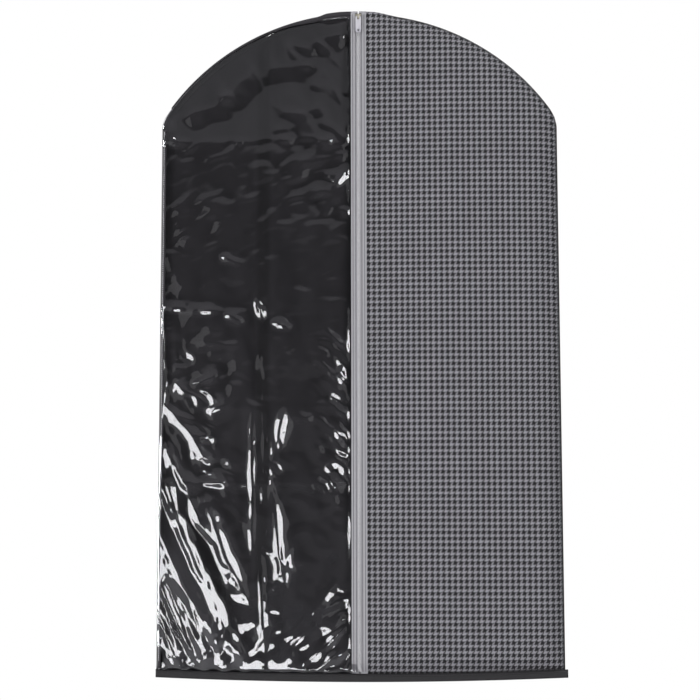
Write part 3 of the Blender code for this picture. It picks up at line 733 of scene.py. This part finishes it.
def weave_group():
    """Narrow woven ribbon, as a height and a shade: fine crosswise picks between lengthwise ribs, with
    painted shade that darkens the grooves between them.
    """
    inputs = {"Rib Pitch": 0.0016, "Pick Pitch": 0.0007, "Rib Axis": 0.0, "Pick Axis": 0.0}
    tree, given, result = shader_group("ribbon_weave", inputs, ("Height", "Shade"))

    def wave(axis, pitch):
        turns = maths(tree, "DIVIDE", math.tau, given[pitch])
        return maths(tree, "COSINE", maths(tree, "MULTIPLY", given[axis], turns))

    ribs = maths(tree, "MULTIPLY", wave("Rib Axis", "Rib Pitch"), 0.5)
    picks = maths(tree, "MULTIPLY", wave("Pick Axis", "Pick Pitch"), 0.35)
    height = maths(tree, "ADD", ribs, picks)
    tree.links.new(height, result["Height"])
    # painted shade: the colour follows the height, darker in the grooves between ribs and picks
    tree.links.new(scaled(tree, height, 0.12, 0.92), result["Shade"])
    return tree


def woven_material(name, colour, rib_axis, pick_axis, rib_pitch, pick_pitch):
    """Ribbon weave in one colour, its ribs and picks spaced along two of the piece's own axes."""
    finish, tree, shader = new_material(name, 0.75, specular=0.3)
    axes = object_axes(tree)
    weave = add_node(tree, "ShaderNodeGroup", node_tree=ribbon_weave,
                     Rib_Pitch=rib_pitch, Pick_Pitch=pick_pitch)
    tree.links.new(axes[rib_axis], weave.inputs["Rib Axis"])
    tree.links.new(axes[pick_axis], weave.inputs["Pick Axis"])
    tinted(tree, colour, weave.outputs["Shade"], shader.inputs["Base Color"])
    bumped(tree, shader, weave.outputs["Height"], 0.00015, 0.8)
    return finish


ribbon_weave = weave_group()
tape_cloth = woven_material("zip_tape", (0.245, 0.242, 0.258, 1), "X", "Z", 0.0016, 0.0009)
for side, word in ((-1, "left"), (1, "right")):
    share = np.linspace(0, 1, 6 * tape_ribs + 1)
    reach = tape_near + share * (tape_far - tape_near)
    reach = reach if side > 0 else -reach[::-1]
    x = np.tile(reach, (321, 1))
    z = np.linspace(hem_z + 0.0003, crown_z, 321)[:, None] + 0 * x
    rib = 0.00012 * np.cos(math.tau * tape_ribs * (np.abs(x) - tape_near) / (tape_far - tape_near))
    y = zip_path(z) - tape_behind - tape_thickness / 2 - rib
    tape = thickened(cloth_grid(f"zip_ribbon_{word}", x, y, hung(x, z)), tape_thickness)
    tape.data.materials.append(tape_cloth)
    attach(tape, "bag")
    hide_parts(f"zip_tape_{word}")

# Zip coils. Nylon filament wound into loops, sewn to the front of each tape. The loops of the two sides lock
# into each other half a pitch apart. Geometry Nodes set one loop at each pitch down the tape.

loop_pitch = 0.00127
loop_thickness = 0.00062
loop_reach, loop_rise = 0.0024, 0.0014
coil_behind, coil_gap = 0.0017, 0.0003


def modelled(name, path_points, tree, inputs):
    """A path run through a Geometry Nodes tree and made a plain mesh."""
    curve = bpy.data.curves.new(name, "CURVE")
    curve.dimensions = "3D"
    spline = curve.splines.new("POLY")
    spline.points.add(len(path_points) - 1)
    for spline_point, point in zip(spline.points, path_points):
        spline_point.co = (*point, 1)
    path = bpy.data.objects.new(name, curve)
    bpy.context.collection.objects.link(path)
    nodes = path.modifiers.new("nodes", "NODES")
    nodes.node_group = tree
    for item in tree.interface.items_tree:
        if item.item_type == "SOCKET" and item.in_out == "INPUT" and item.name in inputs:
            nodes[item.identifier] = inputs[item.name]
    bpy.context.view_layer.update()
    evaluated = path.evaluated_get(bpy.context.evaluated_depsgraph_get())
    mesh = bpy.data.meshes.new_from_object(evaluated)
    piece = bpy.data.objects.new(name, mesh)
    bpy.context.collection.objects.link(piece)
    bpy.data.objects.remove(path)
    mesh.name = name
    return piece


def row_tree(name):
    """A tree that sets copies of one small object at even steps along a path."""
    tree = bpy.data.node_groups.new(name, "GeometryNodeTree")
    inputs = (("Path", "Geometry"), ("Pitch", "Float"), ("Unit", "Object"), ("Wander", "Float"),
              ("Finish", "Material"))
    for socket, kind in inputs:
        tree.interface.new_socket(socket, in_out="INPUT", socket_type=f"NodeSocket{kind}")
    tree.interface.new_socket("Row", in_out="OUTPUT", socket_type="NodeSocketGeometry")
    given, result = tree.nodes.new("NodeGroupInput"), tree.nodes.new("NodeGroupOutput")
    steps = add_node(tree, "GeometryNodeCurveToPoints", mode="LENGTH")
    unit = tree.nodes.new("GeometryNodeObjectInfo")
    spread = add_node(tree, "ShaderNodeVectorMath", operation="SCALE")
    turned = add_node(tree, "FunctionNodeRandomValue", data_type="FLOAT_VECTOR", Seed=4)
    turned.inputs[0].default_value = (-1, -1, -1)
    turned.inputs[1].default_value = (1, 1, 1)
    copies = tree.nodes.new("GeometryNodeInstanceOnPoints")
    real = tree.nodes.new("GeometryNodeRealizeInstances")
    finish = tree.nodes.new("GeometryNodeSetMaterial")
    links = tree.links
    links.new(given.outputs["Path"], steps.inputs["Curve"])
    links.new(given.outputs["Pitch"], steps.inputs["Length"])
    links.new(given.outputs["Unit"], unit.inputs["Object"])
    links.new(steps.outputs["Points"], copies.inputs["Points"])
    links.new(unit.outputs["Geometry"], copies.inputs["Instance"])
    links.new(turned.outputs[0], spread.inputs[0])
    links.new(given.outputs["Wander"], spread.inputs["Scale"])
    links.new(spread.outputs[0], copies.inputs["Rotation"])
    links.new(copies.outputs[0], real.inputs[0])
    links.new(real.outputs[0], finish.inputs["Geometry"])
    links.new(given.outputs["Finish"], finish.inputs["Material"])
    links.new(finish.outputs[0], result.inputs["Row"])
    return tree


def bent_wire(name, points, radius, sides=5):
    """A short wire through the points, closed at both ends, as an object for the tree to copy."""
    bm = bmesh.new()
    rings = []
    for number, point in enumerate(points):
        before, after = points[max(number - 1, 0)], points[min(number + 1, len(points) - 1)]
        heading = (Vector(after) - Vector(before)).normalized()
        across = heading.orthogonal().normalized() if abs(heading.z) < 0.9 else Vector((1, 0, 0))
        third = heading.cross(across).normalized()
        across = third.cross(heading)
        ring = []
        for step in range(sides):
            angle = math.tau * step / sides
            around = math.cos(angle) * across + math.sin(angle) * third
            ring.append(bm.verts.new(Vector(point) + radius * around))
        rings.append(ring)
    for first, second in zip(rings, rings[1:]):
        for step in range(sides):
            after = (step + 1) % sides
            bm.faces.new((first[step], first[after], second[after], second[step]))
    bm.faces.new(rings[0][::-1])
    bm.faces.new(rings[-1])
    bmesh.ops.recalc_face_normals(bm, faces=bm.faces)
    mesh = bpy.data.meshes.new(name)
    bm.to_mesh(mesh)
    bm.free()
    mesh.shade_smooth()
    return bpy.data.objects.new(name, mesh)


row_of = row_tree("row_of_units")
nylon, tree, shader = new_material("zip_coil", 0.38, specular=0.5)
streaks = scaled(tree, noise(tree, Scale=350.0, Detail=3.0), 0.3, 0.84)
tinted(tree, (0.42, 0.417, 0.435, 1), streaks, shader.inputs["Base Color"])
coil_top_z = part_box("zip_coil_left")[1].z - 0.001
into_hem = np.linspace(binding_top_z + hem_roll, binding_top_z + 0.004, 9)
coil_heights = np.concatenate([[coil_top_z], into_hem])
for side, word in ((-1, "left"), (1, "right")):
    near = -side * coil_gap
    far = side * loop_reach
    half = loop_rise / 2
    bend = side * 0.0009
    turn = [(far, half, -0.0003), (bend, half, -0.0002), (near, half * 0.5, 0),
            (near, -half * 0.5, 0), (bend, -half, 0.0002), (far, -half, 0.0003)]
    loop = bent_wire(f"loop_{word}", turn, loop_thickness / 2)
    offset = 0.0 if side < 0 else loop_pitch / 2
    path = [(0.0, float(zip_path(h)) - coil_behind - loop_rise / 2 - coil_gap, float(hung(0.0, h)) - offset)
            for h in coil_heights]
    coil = modelled(f"zip_teeth_{word}", path, row_of,
                    {"Pitch": loop_pitch, "Unit": loop, "Wander": 0.0, "Finish": nylon})
    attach(coil, "bag")
    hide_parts(f"zip_coil_{word}")

# Sewing. Polyester thread in lockstitch: two rows on each zip tape, one down the film's edge, one along the
# hem, and the seams inside. Each visible stitch is a short thread that dips into the cloth at both ends.

stitch_rise = 0.00035
thread_behind = 0.0015


def thread_material(name, colour):
    """Twisted thread."""
    finish, tree, shader = new_material(name, 0.55, specular=0.4)
    twist = scaled(tree, noise(tree, Scale=1500.0, Detail=2.0), 0.5, 0.75)
    tinted(tree, colour, twist, shader.inputs["Base Color"])
    return finish


def stitch(name, length, direction, radius):
    """One stitch along a direction, arched towards the front."""
    way = Vector(direction).normalized()
    points = []
    for share in (-0.5, -0.3, 0.0, 0.3, 0.5):
        lift = stitch_rise * (0.5 - (2 * share) ** 2)
        points.append(way * share * length + Vector((0, -lift, 0)))
    return bent_wire(name, points, radius)


def sewn_row(name, path, pitch, unit, finish, node):
    """A row of stitches along a path, in place of a node's plain thread."""
    row = modelled(name, path, row_of, {"Pitch": pitch, "Unit": unit, "Wander": 0.12, "Finish": finish})
    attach(row, "bag")
    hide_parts(node)


grey_thread = thread_material("zip_thread", (0.030, 0.030, 0.033, 1))
black_thread = thread_material("black_thread", (0.03, 0.03, 0.032, 1))
down_stitch = stitch("down_stitch", 0.0011, (0, 0, 1), 0.00045)
seam_stitch = stitch("seam_stitch", 0.0024, (0, 0, 1), 0.0002)
hem_stitch = stitch("hem_stitch", 0.0024, (1, 0, 0), 0.00022)
for side, word in ((-1, "left"), (1, "right")):
    for kind, reach in (("coil_thread", 0.0047), ("zip_seam_thread", 0.0087)):
        path = [(side * reach, float(zip_path(h)) - thread_behind, float(hung(side * reach, h)))
                for h in coil_heights]
        sewn_row(f"{kind}_stitches_{word}", path, 0.0019, down_stitch, grey_thread,
                 f"{kind}_{word}")
    low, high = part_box(f"seam_thread_{word}")
    middle = (low + high) / 2
    path = [(middle.x, middle.y, low.z), (middle.x, middle.y, high.z)]
    sewn_row(f"side_stitches_{word}", path, 0.0030, seam_stitch, black_thread,
             f"seam_thread_{word}")
# a real row of stitches down the film's edge, its thread painted pale as painted glints, in place of the
# light that the film's puckers catch at the needle holes
painted_glint_thread = thread_material("painted_glint_thread", (0.42, 0.42, 0.44, 1))
edge_stitch = stitch("edge_stitch", 0.0018, (0, 0, 1), 0.00042)
edge_row_x = -side_x + 0.0052
heights = np.linspace(strip_top_z - 0.004, binding_top_z + 0.002, 60)
stands = seam_y - panel_depth(np.full(60, edge_row_x), heights, film_crisp) - 0.0009
path = [(edge_row_x, stand, hung(edge_row_x, height)) for stand, height in zip(stands, heights)]
edge_row = modelled("edge_stitches", path, row_of,
                    {"Pitch": 0.0032, "Unit": edge_stitch, "Wander": 0.15, "Finish": painted_glint_thread})
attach(edge_row, "bag")
low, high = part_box("hem_thread")
path = []
for share in np.linspace(0.003, 0.997, 60):
    along = low.x + share * (high.x - low.x)
    path.append((along, low.y + 0.0001, float(hung(along, (low.z + high.z) / 2))))
sewn_row("hem_stitches", path, 0.0030, hem_stitch, black_thread, "hem_thread")

# Hem binding. Black ribbed tape folded over the bottom edge of all the layers and sewn through. Its right end
# is left a little long.

binding_low, binding_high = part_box("hem_binding")
binding_thickness = 0.0006
wall = binding_thickness / 2
corner = 0.0008
front_y, rear_y = binding_low.y + wall, binding_high.y - wall
foot_z, rim_z = binding_low.z + wall, binding_high.z
half_z, bend_z = (rim_z + foot_z) / 2, foot_z + corner * 0.3
profile = np.array([(front_y, rim_z), (front_y, half_z), (front_y, foot_z + corner),
                    (front_y + corner * 0.4, bend_z), (front_y + corner, foot_z),
                    (rear_y - corner, foot_z), (rear_y - corner * 0.4, bend_z),
                    (rear_y, foot_z + corner), (rear_y, half_z), (rear_y, rim_z)])
along = np.linspace(binding_low.x, binding_high.x, 301)
x = np.tile(along, (len(profile), 1))
y, z = profile.T[:, :, None] + 0 * x
pucker = 0.00022 * np.sin(math.tau * x / 0.009) * np.sin(math.tau * x / 0.067 + 1)
y[:4] -= np.abs(pucker[:4])
z[:1] += 0.4 * pucker[:1]
binding = cloth_grid("hem_ribbon", x, y, hung(x, z))
binding_cloth = woven_material("black_binding", (0.0125, 0.0120, 0.0135, 1), "X", "Z", 0.0011, 0.0013)
binding.data.materials.append(binding_cloth)
bm = bmesh.new()
bm.from_mesh(binding.data)
bmesh.ops.recalc_face_normals(bm, faces=bm.faces)
bm.to_mesh(binding.data)
bm.free()
thickened(binding, binding_thickness)
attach(binding, "bag")
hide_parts("hem_binding")

# Seam tapes. Narrow black tape that covers the raw edges inside the side and top seams, with the threads that
# sew the top ones and the tacks at the top of the zip. All keep their simple shapes, in finishes made above.

for name in ("seam_tape_left", "seam_tape_right", "seam_tape_top_left", "seam_tape_top_right"):
    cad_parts[name].data.materials[0] = binding_cloth
for name in ("seam_thread_top_left", "seam_thread_top_right"):
    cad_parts[name].data.materials[0] = black_thread
for name in ("top_tack_left", "top_tack_right"):
    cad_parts[name].data.materials[0] = grey_thread

# Slider and pull tab. Both are cast in zinc and painted: the slider khaki grey, the tab pale lilac. The edges
# of the castings are rounded, and the paint is worn a little on them.


def worn_paint(name, colour, bare, roughness):
    """Painted casting with fine orange peel, its edges rubbed brighter."""
    finish, tree, shader = new_material(name, roughness, specular=0.5)
    shader.inputs["Coat Weight"].default_value = 0.1
    shader.inputs["Coat Roughness"].default_value = 0.2
    round_edge = add_node(tree, "ShaderNodeNewGeometry")
    worn = add_node(tree, "ShaderNodeMapRange", From_Min=0.52, From_Max=0.60)
    tree.links.new(round_edge.outputs["Pointiness"], worn.inputs["Value"])
    paint = add_node(tree, "ShaderNodeMix", data_type="RGBA")
    paint.inputs[6].default_value = colour
    paint.inputs[7].default_value = bare
    tree.links.new(worn.outputs[0], paint.inputs[0])
    tree.links.new(paint.outputs[2], shader.inputs["Base Color"])
    bumped(tree, shader, noise(tree, Scale=2200.0, Detail=2.0), 0.00003, 0.5)
    return finish


def rounded_casting(node, name, body, radius, finish):
    """A copy of a casting with its corners merged, its edges rounded and its finish set."""
    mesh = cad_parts[node].data.copy()
    mesh.name = name
    mesh.materials.clear()
    mesh.materials.append(finish)
    bm = bmesh.new()
    bm.from_mesh(mesh)
    bmesh.ops.remove_doubles(bm, verts=bm.verts, dist=0.000002)
    bmesh.ops.dissolve_limit(bm, angle_limit=math.radians(1), verts=bm.verts, edges=bm.edges)
    bm.to_mesh(mesh)
    bm.free()
    piece = bpy.data.objects.new(name, mesh)
    bpy.context.collection.objects.link(piece)
    edge = piece.modifiers.new("rounding", "BEVEL")
    edge.width = radius
    edge.segments = 3
    edge.limit_method = "ANGLE"
    edge.angle_limit = math.radians(28)
    mesh.shade_smooth()
    mesh.set_sharp_from_angle(angle=math.radians(50))
    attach(piece, body)
    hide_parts(node)
    return piece


slider_paint = worn_paint("slider_metal", (0.115, 0.108, 0.085, 1), (0.30, 0.28, 0.22, 1), 0.38)
pull_paint = worn_paint("pull_metal", (0.255, 0.25, 0.285, 1), (0.33, 0.325, 0.35, 1), 0.42)
rounded_casting("slider_body", "slider_casting", "slider", 0.00018, slider_paint)
rounded_casting("pull_tab", "pull_plate", "pull", 0.00022, pull_paint)
